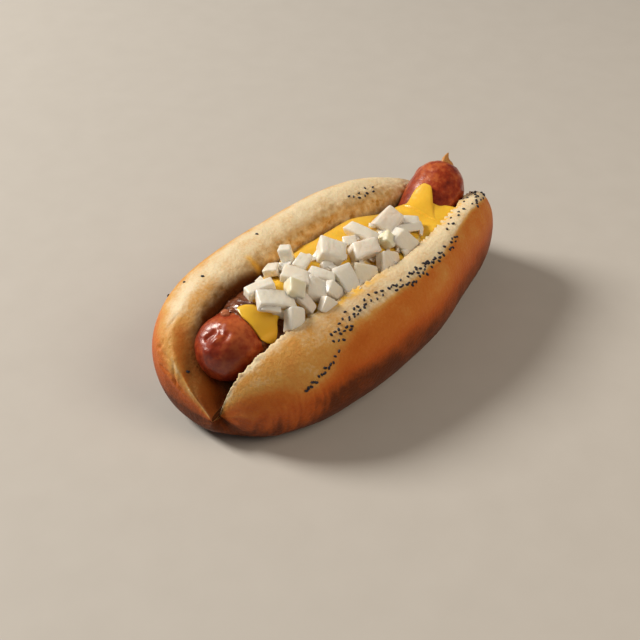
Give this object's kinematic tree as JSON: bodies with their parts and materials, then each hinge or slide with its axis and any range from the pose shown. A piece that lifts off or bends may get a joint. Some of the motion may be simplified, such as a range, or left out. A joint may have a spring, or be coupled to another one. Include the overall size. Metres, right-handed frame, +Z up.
{
  "type": "hot dog",
  "caption": "Hot dog: a poppy-seed bun open along its top holds a frankfurter under meat sauce, cheese sauce and diced raw onion, and rests on its flat underside.",
  "frame": {"origin": "on the flat underside of the bun, below the groove and half way along it", "axes": "+X along the bun, from its closed end to the end where the frankfurter sticks up and out; +Y to the taller half of the bun; +Z up"},
  "size_m": [0.1721, 0.0917, 0.0563],
  "materials": {
    "bun": "baked bread crust, satin, with pale torn crumb along its rims",
    "frankfurter": "taut glossy casing, slightly wrinkled at the ends",
    "meat_sauce": "wet coarse ground meat in sauce",
    "cheese_sauce": "smooth glossy melted cheese",
    "diced_onion": "wet, translucent white"
  },
  "bodies": {
    "root": {"bun": "bun", "frankfurter": "frankfurter", "meat_sauce": "meat_sauce", "cheese_sauce": "cheese_sauce", "diced_onion": "diced_onion"}
  },
  "joints": []
}
